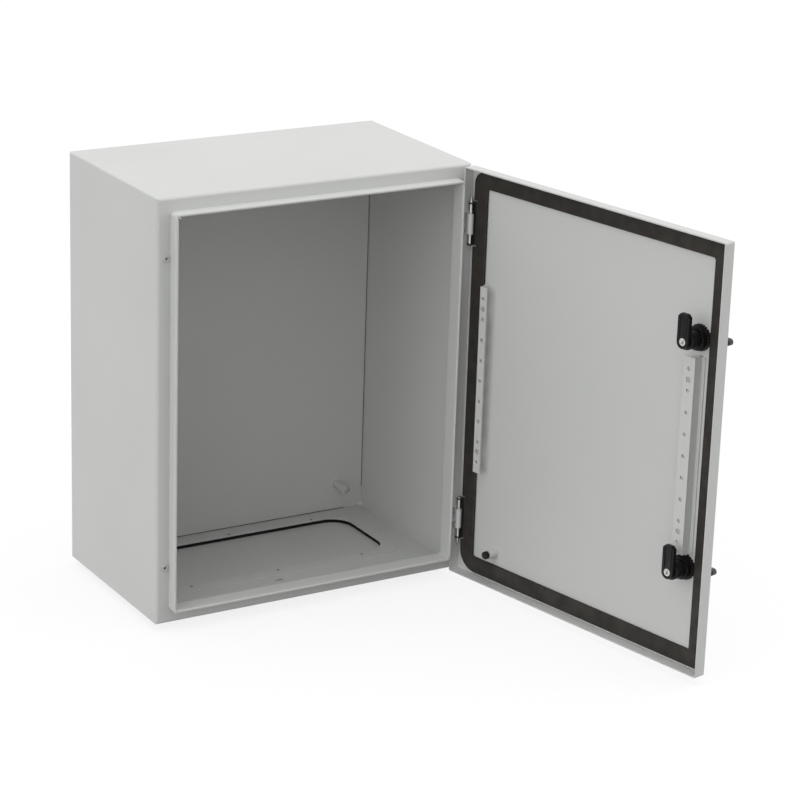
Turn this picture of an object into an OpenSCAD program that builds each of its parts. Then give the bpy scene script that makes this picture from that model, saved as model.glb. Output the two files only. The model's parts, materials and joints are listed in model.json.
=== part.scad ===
// Steel wall enclosure: a folded and welded body, a hinged door and two quarter-turn locks.
// It is drawn as it stands with the locks undone and the door swung open.
// The origin is the centre of the four wall fixing holes, on the outer face of the back panel.
// X runs towards the hinge side, Y towards the wall and Z up. All sizes are in millimetres.

/* [Body] */
// Width over the side walls
body_w = 400; // [380:5:480]
// Height over the top and the floor
body_h = 500; // [480:10:620]
// Depth of the body alone, from the wall to its front flange
body_d = 230; // [200:5:300]
// Thickness of the folded sheet
sheet_t = 1.5; // [1.2:0.1:1.8]
// Outside radius of the bends round the front opening
bend_r = 3.5; // [2.5:0.5:5]
// Outside radius of the long edges from the front to the wall
edge_r = 2; // [1.8:0.1:3]

/* [Rain rim] */
// Distance from the outside of the body to the rim
rim_inset = 16; // [15.5:0.1:16.5]
// How far the rim stands ahead of the front flange
rim_height = 14.5; // [10:0.5:14.5]
// How far the hemmed inner leg reaches behind the front flange face
rim_return = 6; // [3:0.5:7]
// Space left inside the hem
hem_gap = 0.5; // [0.3:0.1:0.8]
// Outside radius of the corners of the rim
rim_corner_r = 4.2; // [4.1:0.1:10]

/* [Back panel] */
// Distance of the wall fixing holes from the sides of the body
fixing_inset_w = 25; // [15:0.5:40]
// Distance of the wall fixing holes from the top and the floor
fixing_inset_h = 25; // [15:0.5:40]
// Diameter of a wall fixing hole
fixing_hole_d = 8.5; // [6:0.5:10]
// Width of the seam round the inside of the back panel
seam_w = 1; // [0.6:0.1:1.5]
// Depth of that seam
seam_depth = 0.8; // [0.4:0.1:1]
// How far the seam stops short of the corners
seam_stop = 25; // [15:1:40]
// Radius of the welded inside corners at the back
weld_r = 9; // [5:0.5:12]

/* [Mounting plate studs] */
// Distance of the studs from the sides of the body
stud_inset_w = 37.5; // [37.5:0.5:60]
// Distance of the studs from the top and the floor
stud_inset_h = 35; // [35:0.5:60]
// Diameter of the stud thread
stud_d = 8; // [6:1:8]
// Length of a stud from the back panel
stud_len = 27; // [27:1:45]
// Diameter of the painted sleeve round a stud
sleeve_d = 11; // [10:0.5:14]
// Length of the sleeve
sleeve_len = 19.5; // [10:0.5:19.5]

/* [Gland opening] */
// Distance of the cable opening from the sides of the body
gland_side = 44; // [44:1:70]
// Depth of the cable opening from front to back
gland_d = 118; // [90:2:118]
// Distance from the wall to the centre of the opening
gland_y = 86; // [84:1:100]
// Corner radius of the opening
gland_corner_r = 28; // [12:1:32]
// How far the gland plate laps past the opening
gland_lap = 16; // [14:0.5:18]
// Height of the pressed panel round the opening
gland_rise = 1; // [0.5:0.1:1.2]
// Thickness of the gland gasket
gland_gasket_t = 4; // [2:0.5:5]
// Thickness of the gland plate
gland_plate_t = 1.5; // [1.2:0.1:3]
// Spacing of the gland plate screws along the plate
gland_screw_pitch = 115; // [80:1:115]
// Thread diameter of a gland plate screw
gland_screw_d = 4; // [3:0.5:5]
// Head diameter of a gland plate screw
gland_head_d = 9; // [7:0.5:10]
// Head height of a gland plate screw
gland_head_h = 3; // [2:0.5:4]

/* [Door] */
// Angle that the door stands open
door_open_angle = 101.7; // [0:0.1:120]
// How far the door edges stay inside the sides of the body
door_reveal = 1; // [0.5:0.1:1.2]
// Gap between the front flange and the rim of the closed door
door_gap = 4.5; // [4.5:0.1:6]
// Depth of the door pan
door_depth = 15.5; // [15:0.1:17]
// Outside radius of the bends of the door
door_bend_r = 2.5; // [2:0.5:4]

/* [Door gasket] */
// Thickness of the foam above the door panel
foam_t = 3.6; // [2:0.1:3.6]
// Distance from the top, bottom and free edges of the door to the foam
foam_edge = 4.5; // [3:0.5:8]
// Distance from the hinge edge of the door to the foam
foam_edge_hinge = 6.5; // [4:0.5:9]
// Distance from the hinge edge to the inner side of the foam
foam_inner_hinge = 27.7; // [22:0.1:27.8]
// Distance from the free edge to the inner side of the foam
foam_inner_free = 22.4; // [19:0.1:22.5]
// Distance from the top edge to the inner side of the foam
foam_inner_top = 23; // [19:0.5:24]
// Distance from the bottom edge to the inner side of the foam
foam_inner_bottom = 24.5; // [20:0.5:26]
// Outer radius of the foam corners on the hinge side
foam_corner_r = 25; // [10:1:25]
// Outer radius of the foam corners on the free side
foam_free_r = 6; // [4:0.5:12]
// Inner radius of the foam corners
foam_inner_r = 3; // [2:0.5:8]

/* [Hinges] */
// Distance of a hinge from the top or the floor of the body
hinge_end = 68.5; // [60:0.5:100]
// Distance of the hinge axis from the side of the body
hinge_inset = 6.6; // [6.4:0.1:6.8]
// Distance of the hinge axis ahead of the front flange
hinge_ahead = 11.6; // [11.4:0.1:11.8]
// Diameter of a hinge pin
pin_d = 4.5; // [4:0.1:5]
// Radial clearance of a pin in its barrel
pin_clearance = 0.05; // [0.02:0.01:0.1]
// Outside diameter of a hinge barrel
barrel_d = 7.2; // [6.8:0.1:7.4]
// Length of a hinge barrel
barrel_len = 24; // [16:1:26]
// Half the length of a door leaf
leaf_half = 25.5; // [22:0.5:30]
// Thickness of a door leaf
leaf_t = 2; // [1.5:0.1:2.2]
// Length of the pointed end of a pin
pin_point = 8; // [4:0.5:10]
// Thread diameter of a hinge screw
hinge_screw_d = 4; // [3:0.5:4]

/* [Door rails] */
// Spacing of the row of rail holes
rail_pitch = 25; // [20:1:25]
// Least distance from the end of a rail to the middle of a hole
rail_hole_end = 12; // [8:0.5:20]
// Diameter of a rail hole
rail_hole_d = 4.5; // [3:0.1:5]
// Diameter of the two larger holes
rail_big_hole_d = 6.5; // [5:0.1:7]
// Distance from the top and bottom edges of the door to the ends of a rail
rail_end = 135.5; // [135.5:0.5:150]
// Width of the face of the hinge side rail
rail_hinge_face_w = 10.6; // [9:0.1:16]
// Width of the face of the lock side rail
rail_lock_face_w = 16.6; // [9:0.1:18]
// Height of the face of a rail above the outer face of the door
rail_depth = 14; // [10:0.5:18]
// Width of the welded foot of a rail
rail_foot_w = 4.4; // [3:0.1:4.4]
// Distance of the web of the hinge side rail from the hinge edge
rail_hinge_s = 32.4; // [32.4:0.1:40]
// Distance of the web of the lock side rail from the free edge
rail_lock_s = 32.7; // [28:0.1:45]
// How far the welded half of a web passes the ends of the face
rail_web_over = 1; // [0.5:0.1:1.5]

/* [Locks] */
// Distance of the lock axes from the free edge of the door
lock_edge = 37.7; // [37.6:0.1:40]
// Distance of the upper lock from the top edge of the door
lock_upper_end = 115; // [80:0.5:118]
// Distance of the lower lock from the bottom edge of the door
lock_lower_end = 118.5; // [80:0.5:119]
// Outside diameter of the lock barrel
lock_barrel_d = 20; // [18:0.5:20]
// Gap between a cam and the back of the rim when the door is shut and locked
cam_rim_gap = 0.4; // [0.3:0.1:2]
// Diameter of the turning spindle
spindle_d = 12; // [9:0.5:12]
// Radial clearance of the spindle in its barrel
spindle_clearance = 0.06; // [0.03:0.01:0.1]
// Diameter of the ribbed foot of the lock nut
lock_nut_d = 30; // [26:0.5:30]
// Reach of a cam from the lock axis
cam_reach = 31.5; // [26:0.5:33]
// Width of a cam
cam_w = 15.5; // [15:0.5:21]
// Thickness of the body of a cam
cam_t = 5.5; // [5:0.5:8]
// Height of the two ribs along a cam
cam_rib_h = 1; // [0.5:0.5:3]
// Reach of each wing of the knob from the lock axis
wing_reach = 34; // [20:0.5:36]
// Width of a wing
wing_w = 7.5; // [6:0.5:10]
// Height of the wings above the hub of the knob
wing_h = 8; // [5:0.5:10]

/* [Door earth stud] */
// Distance of the earth stud from the hinge edge
earth_s = 62; // [50:1:80]
// Distance of the earth stud from the bottom edge of the door
earth_up = 39; // [37:1:60]
// Thread diameter of the earth stud
earth_d = 6; // [5:1:6]
// Length of the earth stud from the door panel
earth_len = 15; // [14:0.5:20]
// Diameter of the painted sleeve round the foot of the earth stud
earth_sleeve_d = 11.5; // [9:0.5:14]
// Length of that sleeve
earth_sleeve_len = 11.5; // [4:0.5:12]

/* [Hidden] */
$fn = 48;
lap = 1;                                             // overlap that keeps a cut clear of its faces
side_w = body_w - 2 * sheet_t;                       // clear width inside the body
side_h = body_h - 2 * sheet_t;                       // clear height inside the body
rim_w = body_w - 2 * rim_inset;
rim_h = body_h - 2 * rim_inset;
fixing_x = body_w / 2 - fixing_inset_w;
fixing_z = body_h / 2 - fixing_inset_h;
stud_x = body_w / 2 - stud_inset_w;
stud_z = body_h / 2 - stud_inset_h;
gland_w = body_w - 2 * gland_side;
crest_r = sheet_t + hem_gap / 2;                     // outside radius of the hem
rim_t = 2 * crest_r;
door_w = body_w - 2 * door_reveal;
door_h = body_h - 2 * door_reveal;
door_face_y = -body_d - door_gap - door_depth;       // outer face of the closed door
hinge_x = body_w / 2 - hinge_inset;
hinge_z = body_h / 2 - hinge_end;
hinge_y = -body_d - hinge_ahead;
hinge_s = hinge_inset - door_reveal;                 // hinge axis seen from the hinge edge of the door
hinge_dp = hinge_y - door_face_y;                    // hinge axis behind the outer face of the door
hinge_foot_t = 2;
hinge_foot_lip_gap = 0.6;
hinge_foot_over = 1.5;                               // how far a foot passes the hinge axis
hinge_screw_in = 4.5;                                // hinge screw from the hinge axis, towards the rim
hinge_screw_x = hinge_x - hinge_screw_in;
hinge_screw_gap = 0.1;
hinge_head_d = 7.4;
hinge_head_h = 2.6;
hinge_washer_d = 9;
hinge_washer_t = 1;
hinge_rib_in = 5;                                    // ribs of a bracket, measured from its middle
clip_t = 0.8;
clip_d = 7;
clip_gap = 0.1;
notch_gap = 2;
plug_d = 9.6;
plug_t = 1.2;
plug_slot_w = 3;                                     // screwdriver slot across a plug
plug_slot_len = 6.4;
plug_slot_depth = 2.6;
plug_end_y = 4;                                      // how far a plug reaches behind the flange face
stud_neck = 0.5;                                     // a stud is thinner by this radius inside its sleeve
stud_neck_over = 0.3;
stud_gap = 0.05;
stud_chamfer = 1;
gland_screw_d_gap = 0.1;
gland_screw_y = gland_d / 2 + 4.75;
gland_tip_below = 0.6;
floor_z = -body_h / 2;
gland_gasket_z = floor_z + gland_rise;
foam_leaf_gap = 2;
foam_leaf_s = 11.5;
leaf_s0 = door_bend_r + 0.1;
leaf_s1 = foam_leaf_s - 1;
lug_w = 2 * (hinge_s - leaf_s0);
rail_web_foot = 7;                                   // height of the welded half of a web
rail_half = door_h / 2 - rail_end;
rail_side_holes = floor((rail_half - rail_hole_end) / rail_pitch);  // holes above the middle one
rail_big_hole_z = (rail_side_holes - 0.5) * rail_pitch;
lock_s = door_w - lock_edge;
lock_upper_z = door_h / 2 - lock_upper_end;
lock_lower_z = lock_lower_end - door_h / 2;
cam_back = door_depth + door_gap + rim_return + cam_rim_gap;
knob_gap = 0.2;
lock_barrel_depth = cam_back - knob_gap;             // reach of the barrel behind the outer face of the door
lock_flange_d = 27;
lock_flange_t = 2;
lock_seal_t = 1;
lock_gap = 0.2;
nut_foot_t = 3.7;
nut_ring_d = 26;
nut_ring_t = 6.8;
nut_gap = 0.1;
nut_ribs = 24;
nut_rib_h = 1;
knob_hub_d = 20;
knob_hub_t = 5;
square_w = 8;
square_len = 2.6;
square_gap = 0.1;
cam_screw_d = 5;
cam_screw_grip = 5;                                  // how far a cam screw goes into the spindle
cam_head_d = 8.6;
cam_head_h = 2.2;
cam_head_gap = 0.3;
cam_seat = 3.4;                                      // seat of the screw head, from the end of the barrel
cam_face = cam_back + cam_t;
cam_rib_w = 2;
cam_chamfer = 3.5;
earth_z = earth_up - door_h / 2;
cap_d = 9.2;
cap_gap = 0.1;
cap_top = 1.8;

// A rectangle with round corners.
module round_rect(w, h, r) {
    square([w - 2 * r, h], center = true);
    square([w, h - 2 * r], center = true);
    for (x = [-1, 1], y = [-1, 1])
        translate([x * (w / 2 - r), y * (h / 2 - r)])
            circle(r);
}

// An outline in X and Z made solid from one Y to another.
module slab(y0, y1) {
    translate([0, y1, 0])
        rotate([90, 0, 0])
            linear_extrude(y1 - y0)
                children();
}

// A round bar along Y.
module bar_y(d, y0, y1) {
    slab(y0, y1)
        circle(d / 2);
}

// Side view of a case: open at the back, with round front corners.
module case_side(half, d, r, over) {
    translate([r - d, -half])
        square([d - r + over, 2 * half]);
    translate([-d, r - half])
        square([d + over, 2 * (half - r)]);
    for (s = [-1, 1])
        translate([r - d, s * (half - r)])
            circle(r);
}

// A solid case with front edges of radius r and long edges of radius re. Its back is at y = 0.
module case_solid(w, h, d, r, re, over = 0) {
    intersection() {
        slab(-d, over)
            round_rect(w, h, re);
        rotate([90, 0, 90])
            linear_extrude(w + 2 * lap, center = true)
                case_side(h / 2, d, r, over);
        linear_extrude(h + 2 * lap, center = true)
            rotate(90)
                case_side(w / 2, d, r, over);
    }
}

// Section of the hemmed rim: x runs inwards from its outer face, y forwards from the flange face.
module rim_section() {
    translate([0, -sheet_t])
        square([sheet_t, rim_height - crest_r + sheet_t]);
    translate([sheet_t + hem_gap, -rim_return])
        square([sheet_t, rim_height - crest_r + rim_return]);
    difference() {
        translate([crest_r, rim_height - crest_r])
            circle(crest_r);
        translate([crest_r, rim_height - crest_r])
            circle(hem_gap / 2);
        translate([-lap, -lap])
            square([rim_t + 2 * lap, rim_height - crest_r + lap]);
    }
}

module rim_run(len) {
    rotate([90, 0, 0])
        linear_extrude(len, center = true)
            rim_section();
}

// The rim round the front opening, with its corners swept round.
module rain_rim() {
    run_w = rim_w - 2 * rim_corner_r;
    run_h = rim_h - 2 * rim_corner_r;
    translate([0, -body_d, 0])
        rotate([90, 0, 0]) {
            for (a = [0, 180])
                rotate([0, 0, a]) {
                    translate([-rim_w / 2, 0, 0])
                        rim_run(run_h);
                    translate([0, -rim_h / 2, 0])
                        rotate([0, 0, 90])
                            rim_run(run_w);
                }
            for (q = [[1, 1, 0], [-1, 1, 90], [-1, -1, 180], [1, -1, 270]])
                translate([q[0] * run_w / 2, q[1] * run_h / 2, 0])
                    rotate([0, 0, q[2]])
                        rotate_extrude(angle = 90)
                            translate([rim_corner_r, 0])
                                mirror([1, 0])
                                    rim_section();
        }
}

// Places its children at the gland plate screws.
module at_gland_screws() {
    for (x = [-1, 0, 1], y = [-1, 1])
        translate([x * gland_screw_pitch, y * gland_screw_y - gland_y, 0])
            children();
}

module gland_outline(grow) {
    translate([0, -gland_y])
        round_rect(gland_w + 2 * grow, gland_d + 2 * grow, gland_corner_r + grow / 2);
}

// Folded wrapper with its front flange, the hemmed rim and the pressed gland opening.
module body_wrapper() {
    color("lightgray")
        difference() {
            union() {
                difference() {
                    case_solid(body_w, body_h, body_d, bend_r, edge_r);
                    case_solid(side_w, side_h, body_d - sheet_t, bend_r - sheet_t, edge_r - sheet_t, lap);
                    slab(-body_d - lap, lap - body_d + sheet_t)
                        round_rect(rim_w - sheet_t, rim_h - sheet_t, rim_corner_r - sheet_t / 2);
                }
                rain_rim();
                translate([0, 0, floor_z + sheet_t])
                    linear_extrude(gland_rise)
                        gland_outline(gland_lap + sheet_t);
            }
            translate([0, 0, floor_z - lap])
                linear_extrude(gland_rise + lap)
                    gland_outline(gland_lap);
            translate([0, 0, floor_z - lap])
                linear_extrude(gland_rise + sheet_t + 2 * lap)
                    gland_outline(0);
            at_gland_screws()
                translate([0, 0, floor_z])
                    cylinder(d = gland_screw_d + 2 * gland_screw_d_gap, h = sheet_t + gland_rise + lap);
            for (x = [-1, 1], z = [-1, 1])
                translate([x * hinge_screw_x, 0, z * hinge_z])
                    bar_y(hinge_screw_d + 2 * hinge_screw_gap, -body_d - lap, lap - body_d + sheet_t);
        }
}

// Back panel, welded inside the wrapper, with the wall fixing holes and the seam round it.
module back_panel() {
    seam_x = side_w / 2 - seam_w;
    seam_z = side_h / 2 - seam_w;
    color("silver")
        difference() {
            slab(-sheet_t, 0)
                round_rect(side_w, side_h, edge_r - sheet_t);
            for (x = [-1, 1], z = [-1, 1])
                translate([x * fixing_x, 0, z * fixing_z])
                    bar_y(fixing_hole_d, -sheet_t - lap, lap);
            for (s = [-1, 1]) {
                translate([s * (seam_x + seam_w / 2), -sheet_t, 0])
                    cube([seam_w, 2 * seam_depth, side_h - 2 * seam_stop], center = true);
                translate([0, -sheet_t, s * (seam_z + seam_w / 2)])
                    cube([side_w - 2 * seam_stop, 2 * seam_depth, seam_w], center = true);
            }
        }
}

// Weld metal dressed round in the four inside corners at the back.
module corner_welds() {
    color("silver")
        for (a = [-1, 1], b = [-1, 1])
            scale([a, 1, b])
                translate([side_w / 2, -sheet_t, side_h / 2])
                    difference() {
                        translate([-weld_r, -weld_r, -weld_r])
                            cube(weld_r);
                        translate([-weld_r, -weld_r, -weld_r])
                            sphere(weld_r);
                        slab(-weld_r - lap, lap)
                            corner_scrap();
                    }
}

// What the inside of a long edge of the wrapper takes off the corner of a weld.
module corner_scrap() {
    r = edge_r - sheet_t;
    difference() {
        translate([-r, -r])
            square(r + lap);
        translate([-r, -r])
            circle(r);
    }
}

module at_studs() {
    for (x = [-1, 1], z = [-1, 1])
        translate([x * stud_x, 0, z * stud_z])
            children();
}

// Welded studs that carry a mounting plate. Each is necked where its sleeve covers it.
module plate_studs() {
    thread_from = sleeve_len + stud_neck_over;
    color("gainsboro")
        at_studs()
            translate([0, -sheet_t, 0])
                rotate([90, 0, 0]) {
                    cylinder(d = stud_d - 2 * stud_neck, h = thread_from);
                    translate([0, 0, thread_from])
                        cylinder(d = stud_d, h = stud_len - stud_chamfer - thread_from);
                    translate([0, 0, stud_len - stud_chamfer])
                        cylinder(d1 = stud_d, d2 = stud_d - 2 * stud_chamfer, h = stud_chamfer);
                }
}

// Painted sleeves that space the mounting plate off the back panel.
module stud_sleeves() {
    color("lightgray")
        at_studs()
            slab(-sheet_t - sleeve_len, -sheet_t)
                difference() {
                    circle(d = sleeve_d);
                    circle(d = stud_d - 2 * stud_neck + 2 * stud_gap);
                }
}

// Foam gasket between the floor and the gland plate.
module gland_gasket() {
    color("black")
        translate([0, 0, gland_gasket_z - gland_gasket_t])
            difference() {
                linear_extrude(gland_gasket_t)
                    gland_outline(gland_lap - lap);
                translate([0, 0, -lap])
                    linear_extrude(gland_gasket_t + 2 * lap)
                        gland_outline(0);
                at_gland_screws()
                    translate([0, 0, -lap])
                        cylinder(d = gland_screw_d + 2 * gland_screw_d_gap, h = gland_gasket_t + 2 * lap);
            }
}

// Plain gland plate that closes the opening from below.
module gland_plate() {
    color("lightgray")
        translate([0, 0, gland_gasket_z - gland_gasket_t - gland_plate_t])
            difference() {
                linear_extrude(gland_plate_t)
                    gland_outline(gland_lap - lap);
                at_gland_screws()
                    translate([0, 0, -lap])
                        cylinder(d = gland_screw_d + 2 * gland_screw_d_gap, h = gland_plate_t + 2 * lap);
            }
}

// Pan head screws put in from below, with their tips just under the floor surface.
module gland_screws() {
    under = gland_gasket_z - gland_gasket_t - gland_plate_t;
    tip = floor_z + sheet_t + gland_rise - gland_tip_below;
    color("silver")
        at_gland_screws() {
            translate([0, 0, under])
                cylinder(d = gland_screw_d, h = tip - under);
            translate([0, 0, under - gland_head_h])
                difference() {
                    cylinder(d1 = gland_head_d - 2, d2 = gland_head_d, h = gland_head_h);
                    for (a = [0, 90])
                        rotate([0, 0, a])
                            cube([gland_screw_d, 1, 2], center = true);
                }
        }
}

// Plastic plugs in the spare hinge holes, for a door hung on the other side.
module blanking_plugs() {
    color("gray")
        for (z = [-1, 1])
            translate([-hinge_screw_x, -body_d, z * hinge_z])
                difference() {
                    union() {
                        bar_y(plug_d, -plug_t, 0);
                        bar_y(hinge_screw_d, -plug_t, plug_end_y);
                    }
                    rotate([0, 45, 0])
                        translate([0, -plug_t, 0])
                            cube([plug_slot_w, 2 * plug_slot_depth, plug_slot_len], center = true);
                }
}

// Bracket on the front flange: a foot, two ribs and the barrel that the hinge pin runs in.
module hinge_bracket() {
    foot_x0 = rim_w / 2 + hinge_foot_lip_gap - hinge_x;
    rib_len = barrel_len / 2 - hinge_rib_in;
    color("lightgray")
        difference() {
            union() {
                cylinder(d = barrel_d, h = barrel_len, center = true);
                translate([foot_x0, hinge_ahead - hinge_foot_t, -barrel_len / 2])
                    cube([hinge_foot_over - foot_x0, hinge_foot_t, barrel_len]);
                for (z = [-barrel_len / 2, hinge_rib_in])
                    translate([-barrel_d / 2, 0, z])
                        cube([barrel_d / 2, hinge_ahead - hinge_foot_t / 2, rib_len]);
            }
            cylinder(d = pin_d + 2 * pin_clearance, h = barrel_len + 2 * lap, center = true);
            translate([-hinge_screw_in, 0, 0])
                bar_y(hinge_screw_d, hinge_ahead - hinge_foot_t - lap, hinge_ahead + lap);
        }
}

module hinge_bracket_upper() {
    translate([hinge_x, hinge_y, hinge_z])
        hinge_bracket();
}

module hinge_bracket_lower() {
    translate([hinge_x, hinge_y, -hinge_z])
        hinge_bracket();
}

// Screws that hold the hinge brackets from inside the flange.
module hinge_screws() {
    seat = sheet_t - body_d + hinge_washer_t;
    color("silver")
        for (z = [-1, 1])
            translate([hinge_screw_x, 0, z * hinge_z])
                difference() {
                    union() {
                        bar_y(hinge_screw_d, -body_d - hinge_foot_t, seat);
                        bar_y(hinge_head_d, seat, seat + hinge_head_h);
                    }
                    translate([0, seat + hinge_head_h, 0])
                        rotate([90, 0, 0])
                            cylinder(d = 3.4, h = 3, center = true, $fn = 6);
                }
}

module hinge_washers() {
    color("silver")
        for (z = [-1, 1])
            translate([hinge_screw_x, 0, z * hinge_z])
                slab(sheet_t - body_d, sheet_t - body_d + hinge_washer_t)
                    difference() {
                        circle(d = hinge_washer_d);
                        circle(d = hinge_screw_d + 2 * hinge_screw_gap);
                    }
}

// Turns its children about the hinge axis, from the closed door to the open one.
module swing() {
    translate([hinge_x, hinge_y, 0])
        rotate([0, 0, door_open_angle])
            translate([-hinge_x, -hinge_y, 0])
                children();
}

// Door coordinates: x from the hinge edge to the free edge, y from the outer face inwards, z up.
module on_door() {
    swing()
        translate([door_w / 2, door_face_y, 0])
            mirror([1, 0, 0])
                children();
}

// Door pan with its bent edge, notched where the hinge brackets pass and bored for the locks.
module door_pan() {
    color("gainsboro")
        swing()
            difference() {
                translate([0, door_face_y + door_depth, 0])
                    difference() {
                        case_solid(door_w, door_h, door_depth, door_bend_r, door_bend_r);
                        case_solid(door_w - 2 * sheet_t, door_h - 2 * sheet_t, door_depth - sheet_t,
                            door_bend_r - sheet_t, door_bend_r - sheet_t, lap);
                    }
                for (z = [-1, 1])
                    translate([door_w / 2 - sheet_t - lap / 2, door_face_y + sheet_t + leaf_t,
                        z * hinge_z - barrel_len / 2 - notch_gap])
                        cube([sheet_t + 2 * lap, door_depth, barrel_len + 2 * notch_gap]);
                for (z = [lock_upper_z, lock_lower_z])
                    translate([door_w / 2 - lock_s, 0, z])
                        bar_y(lock_barrel_d + 2 * lock_gap, door_face_y - lap, door_face_y + sheet_t + lap);
            }
}

// Foam outline seen from inside, with large corners on the hinge side.
module foam_outline(s0, s1, z0, z1, r_hinge, r_free) {
    translate([s0 + r_hinge, z0])
        square([s1 - s0 - r_hinge - r_free, z1 - z0]);
    translate([s0, z0 + r_hinge])
        square([r_hinge + lap, z1 - z0 - 2 * r_hinge]);
    translate([s1 - r_free - lap, z0 + r_free])
        square([r_free + lap, z1 - z0 - 2 * r_free]);
    for (z = [z0 + r_hinge, z1 - r_hinge])
        translate([s0 + r_hinge, z])
            circle(r_hinge);
    for (z = [z0 + r_free, z1 - r_free])
        translate([s1 - r_free, z])
            circle(r_free);
}

// Foam gasket poured on the door panel. The closed rim stands just clear of it.
module door_gasket() {
    color("black")
        on_door()
            slab(sheet_t, sheet_t + foam_t)
                difference() {
                    foam_outline(foam_edge_hinge, door_w - foam_edge, foam_edge - door_h / 2,
                        door_h / 2 - foam_edge, foam_corner_r, foam_free_r);
                    foam_outline(foam_inner_hinge, door_w - foam_inner_free, foam_inner_bottom - door_h / 2,
                        door_h / 2 - foam_inner_top, foam_inner_r, foam_inner_r);
                    for (z = [-1, 1])
                        translate([0, z * hinge_z - leaf_half - foam_leaf_gap])
                            square([foam_leaf_s, 2 * (leaf_half + foam_leaf_gap)]);
                }
}

// Door leaf: a plate on the panel with a lug at each end that grips the pin.
module hinge_leaf() {
    color("dimgray")
        difference() {
            union() {
                translate([leaf_s0, sheet_t, -leaf_half])
                    cube([leaf_s1 - leaf_s0, leaf_t, 2 * leaf_half]);
                for (z = [-leaf_half, leaf_half - leaf_t])
                    translate([hinge_s, 0, z]) {
                        translate([-lug_w / 2, sheet_t, 0])
                            cube([lug_w, hinge_dp - sheet_t, leaf_t]);
                        translate([0, hinge_dp, 0])
                            cylinder(d = lug_w, h = leaf_t);
                    }
            }
            translate([hinge_s, hinge_dp, 0])
                cylinder(d = pin_d, h = 2 * leaf_half + 2 * lap, center = true);
        }
}

module hinge_leaf_upper() {
    on_door()
        translate([0, 0, hinge_z])
            hinge_leaf();
}

module hinge_leaf_lower() {
    on_door()
        translate([0, 0, -hinge_z])
            hinge_leaf();
}

// Hinge pin with a pointed end. It points up when drawn as is.
module hinge_pin() {
    color("gray") {
        translate([0, 0, -leaf_half - 1])
            cylinder(d1 = pin_d - 1.2, d2 = pin_d, h = 1);
        translate([0, 0, -leaf_half])
            cylinder(d = pin_d, h = 2 * leaf_half);
        translate([0, 0, leaf_half])
            cylinder(d1 = pin_d, d2 = 0.8, h = pin_point);
    }
}

module hinge_pin_upper() {
    on_door()
        translate([hinge_s, hinge_dp, hinge_z])
            hinge_pin();
}

module hinge_pin_lower() {
    on_door()
        translate([hinge_s, hinge_dp, -hinge_z])
            mirror([0, 0, 1])
                hinge_pin();
}

// Retaining clips on the pins, one at each end of a barrel. They carry the door.
module hinge_clips() {
    color("gray")
        on_door()
            for (z = [-1, 1], e = [-barrel_len / 2 - clip_gap - clip_t, barrel_len / 2 + clip_gap])
                translate([hinge_s, hinge_dp, z * hinge_z + e])
                    difference() {
                        cylinder(d = clip_d, h = clip_t);
                        translate([0, 0, -lap])
                            cylinder(d = pin_d, h = clip_t + 2 * lap);
                    }
}

// Perforated rail: a welded foot, a web and a face with a row of holes along its middle.
// x runs from the outer side of the web across the face.
module door_rail(face_w) {
    face_y = rail_depth - sheet_t;
    color("gainsboro")
        difference() {
            union() {
                translate([-rail_foot_w, sheet_t, -rail_half])
                    cube([rail_foot_w + sheet_t, sheet_t, 2 * rail_half]);
                translate([0, sheet_t, -rail_half])
                    cube([sheet_t, rail_depth - sheet_t, 2 * rail_half]);
                translate([0, sheet_t, -rail_half - rail_web_over])
                    cube([sheet_t, rail_web_foot, 2 * (rail_half + rail_web_over)]);
                translate([0, face_y, -rail_half])
                    cube([face_w, sheet_t, 2 * rail_half]);
            }
            for (i = [-rail_side_holes : rail_side_holes])
                translate([face_w / 2, 0, i * rail_pitch])
                    bar_y(rail_hole_d, face_y - lap, rail_depth + lap);
            for (z = [-1, 1])
                translate([face_w / 2, 0, z * rail_big_hole_z])
                    bar_y(rail_big_hole_d, face_y - lap, rail_depth + lap);
        }
}

module hinge_side_rail() {
    on_door()
        translate([rail_hinge_s, 0, 0])
            door_rail(rail_hinge_face_w);
}

module lock_side_rail() {
    on_door()
        translate([door_w - rail_lock_s, 0, 0])
            mirror([1, 0, 0])
                door_rail(rail_lock_face_w);
}

// Earth stud welded to the door panel, with the painted sleeve round its foot.
module door_earth_stud() {
    color("gainsboro")
        on_door()
            translate([earth_s, sheet_t, earth_z]) {
                bar_y(earth_d, 0, earth_len);
                bar_y(earth_sleeve_d, 0, earth_sleeve_len);
            }
}

// Cap that keeps paint off the earth stud.
module earth_stud_cap() {
    color("black")
        on_door()
            translate([earth_s, sheet_t, earth_z])
                difference() {
                    bar_y(cap_d, earth_sleeve_len + cap_gap, earth_len + cap_top);
                    bar_y(earth_d + 2 * cap_gap, 0, earth_len + cap_gap);
                }
}

// Lock barrel with its outer flange, bored for the spindle.
module lock_housing() {
    color("dimgray")
        difference() {
            union() {
                bar_y(lock_flange_d, -lock_seal_t - lock_flange_t, -lock_seal_t);
                bar_y(lock_barrel_d, -lock_seal_t, lock_barrel_depth);
            }
            bar_y(spindle_d + 2 * spindle_clearance, -lock_seal_t - lock_flange_t - lap,
                lock_barrel_depth + lap);
        }
}

module lock_seal() {
    color("black")
        slab(-lock_seal_t, 0)
            difference() {
                circle(d = lock_flange_d - 1);
                circle(d = lock_barrel_d + 2 * lock_gap);
            }
}

// Outline of a ribbed ring: each rib takes half of its pitch.
module ribbed_outline(d) {
    root = d / 2 - nut_rib_h;
    step = 360 / nut_ribs;
    polygon([for (i = [0 : nut_ribs - 1], k = [[root, -0.3], [d / 2, -0.2], [d / 2, 0.2], [root, 0.3]])
        [k[0] * cos((i + k[1]) * step), k[0] * sin((i + k[1]) * step)]]);
}

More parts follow.
